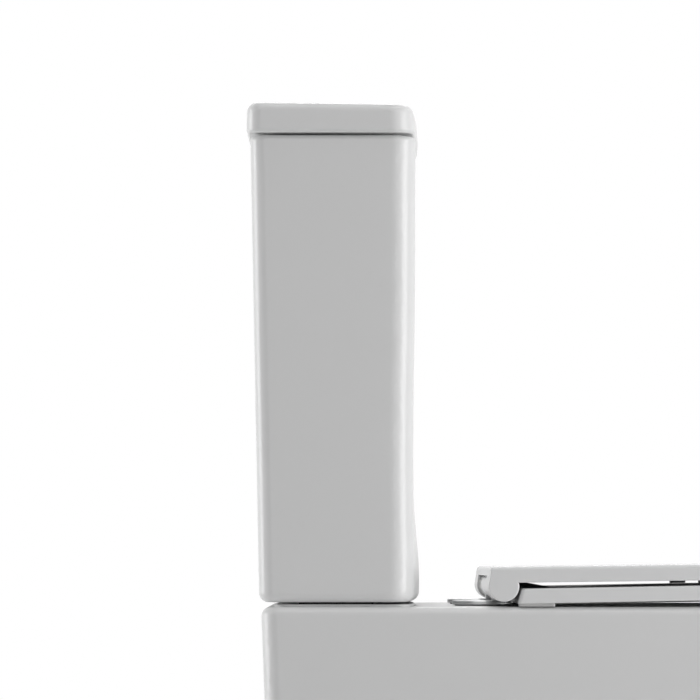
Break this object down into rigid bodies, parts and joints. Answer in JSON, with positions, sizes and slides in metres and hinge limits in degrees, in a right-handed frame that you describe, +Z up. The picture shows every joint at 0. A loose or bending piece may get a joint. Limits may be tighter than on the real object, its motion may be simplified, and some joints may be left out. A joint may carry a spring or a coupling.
{
  "type": "close coupled toilet",
  "caption": "Back-to-wall close coupled toilet: shrouded ceramic pan, lidded cistern with push-button flush, and a slim hinged seat and cover.",
  "frame": {"origin": "middle of the bounding box, on the floor", "axes": "+Z up, the front of the pan faces -Y, the wall is at +Y, +X is the user's left when seated"},
  "size_m": [0.3716, 0.6494, 0.8064],
  "materials": {
    "glaze": "glossy white glaze",
    "seat_plastic": "glossy white",
    "bumper": "soft, pale",
    "chrome": "polished",
    "steel": "zinc plated",
    "valve_plastic": "moulded",
    "rubber": "matt black"
  },
  "bodies": {
    "toilet": {"pan_shell": "glaze", "pan_bowl": "glaze", "pan_trap": "glaze", "pan_flush_way": "glaze", "cistern_tank": "glaze", "cistern_lid": "glaze", "lid_pads": "rubber", "tank_pads": "rubber", "doughnut_seal": "rubber", "coupling_bolts": "steel", "coupling_seals": "rubber", "coupling_washers": "steel", "coupling_wing_nuts": "valve_plastic", "flush_valve_base": "valve_plastic", "flush_valve_gasket": "rubber", "flush_valve_back_nut": "valve_plastic", "flush_valve_housing": "valve_plastic", "flush_valve_cap": "valve_plastic", "rocker_pin": "steel", "button_bezel": "chrome", "button_nut": "valve_plastic", "full_flush_spring": "steel", "half_flush_spring": "steel", "fill_valve_body": "valve_plastic", "fill_valve_gasket": "rubber", "fill_valve_back_nut": "valve_plastic", "fill_valve_head": "valve_plastic", "fill_lever_pin": "steel", "hinge_plates": "chrome", "hinge_gaskets": "rubber", "hinge_posts": "chrome", "hinge_pins": "steel", "seat_fixing_bolts": "steel", "seat_fixing_washers": "rubber", "seat_fixing_nuts": "valve_plastic", "floor_brackets": "steel", "side_screws": "steel", "side_caps": "chrome"},
    "seat": {"seat_ring": "seat_plastic", "seat_bumpers": "bumper"},
    "cover": {"seat_cover": "seat_plastic", "cover_bumpers": "bumper", "hinge_dampers": "valve_plastic"},
    "full_flush": {"full_flush_button": "chrome", "full_flush_rod": "valve_plastic"},
    "half_flush": {"half_flush_button": "chrome", "half_flush_rod": "valve_plastic", "half_flush_float": "valve_plastic"},
    "flush_tube": {"overflow_tube": "valve_plastic", "flush_seal": "rubber"},
    "rocker": {"flush_rocker": "valve_plastic"},
    "fill_float": {"fill_float": "valve_plastic", "float_rod": "steel"},
    "fill_lever": {"fill_lever": "valve_plastic"}
  },
  "joints": [
    {"name": "seat_hinge", "type": "hinge", "parent": "toilet", "child": "seat", "pos_m": [0, 0.119, 0.4164], "axis": [-1, 0, 0], "range_deg": [0, 93]},
    {"name": "cover_hinge", "type": "hinge", "parent": "seat", "child": "cover", "pos_m": [0, 0.119, 0.4164], "axis": [1, 0, 0], "range_deg": [-95, 0]},
    {"name": "full_flush_press", "type": "slide", "parent": "toilet", "child": "full_flush", "axis": [0, 0, -1], "range_m": [0, 0.006], "stiffness_N_per_m": 300, "springref_m": -0.004, "deforming": ["full_flush_spring"]},
    {"name": "half_flush_press", "type": "slide", "parent": "toilet", "child": "half_flush", "axis": [0, 0, -1], "range_m": [0, 0.006], "stiffness_N_per_m": 300, "springref_m": -0.004, "deforming": ["half_flush_spring"]},
    {"name": "flush_lift", "type": "slide", "parent": "toilet", "child": "flush_tube", "axis": [0, 0, 1], "range_m": [0, 0.0081]},
    {"name": "rocker_pivot", "type": "hinge", "parent": "toilet", "child": "rocker", "pos_m": [0, 0.2393, 0.7096], "axis": [0, 1, 0], "range_deg": [0, 26.6]},
    {"name": "float_rise", "type": "slide", "parent": "toilet", "child": "fill_float", "axis": [0, 0, 1], "range_m": [0, 0.01]},
    {"name": "fill_lever_pivot", "type": "hinge", "parent": "toilet", "child": "fill_lever", "pos_m": [-0.103, 0.253, 0.7236], "axis": [0, -1, 0], "range_deg": [0, 26.6]}
  ],
  "couplings": [
    {"joint": "flush_lift", "follows": "full_flush_press", "ratio": 1.3333},
    {"joint": "rocker_pivot", "follows": "full_flush_press", "rad_per_m": 76.6},
    {"joint": "fill_lever_pivot", "follows": "float_rise", "rad_per_m": 46}
  ]
}
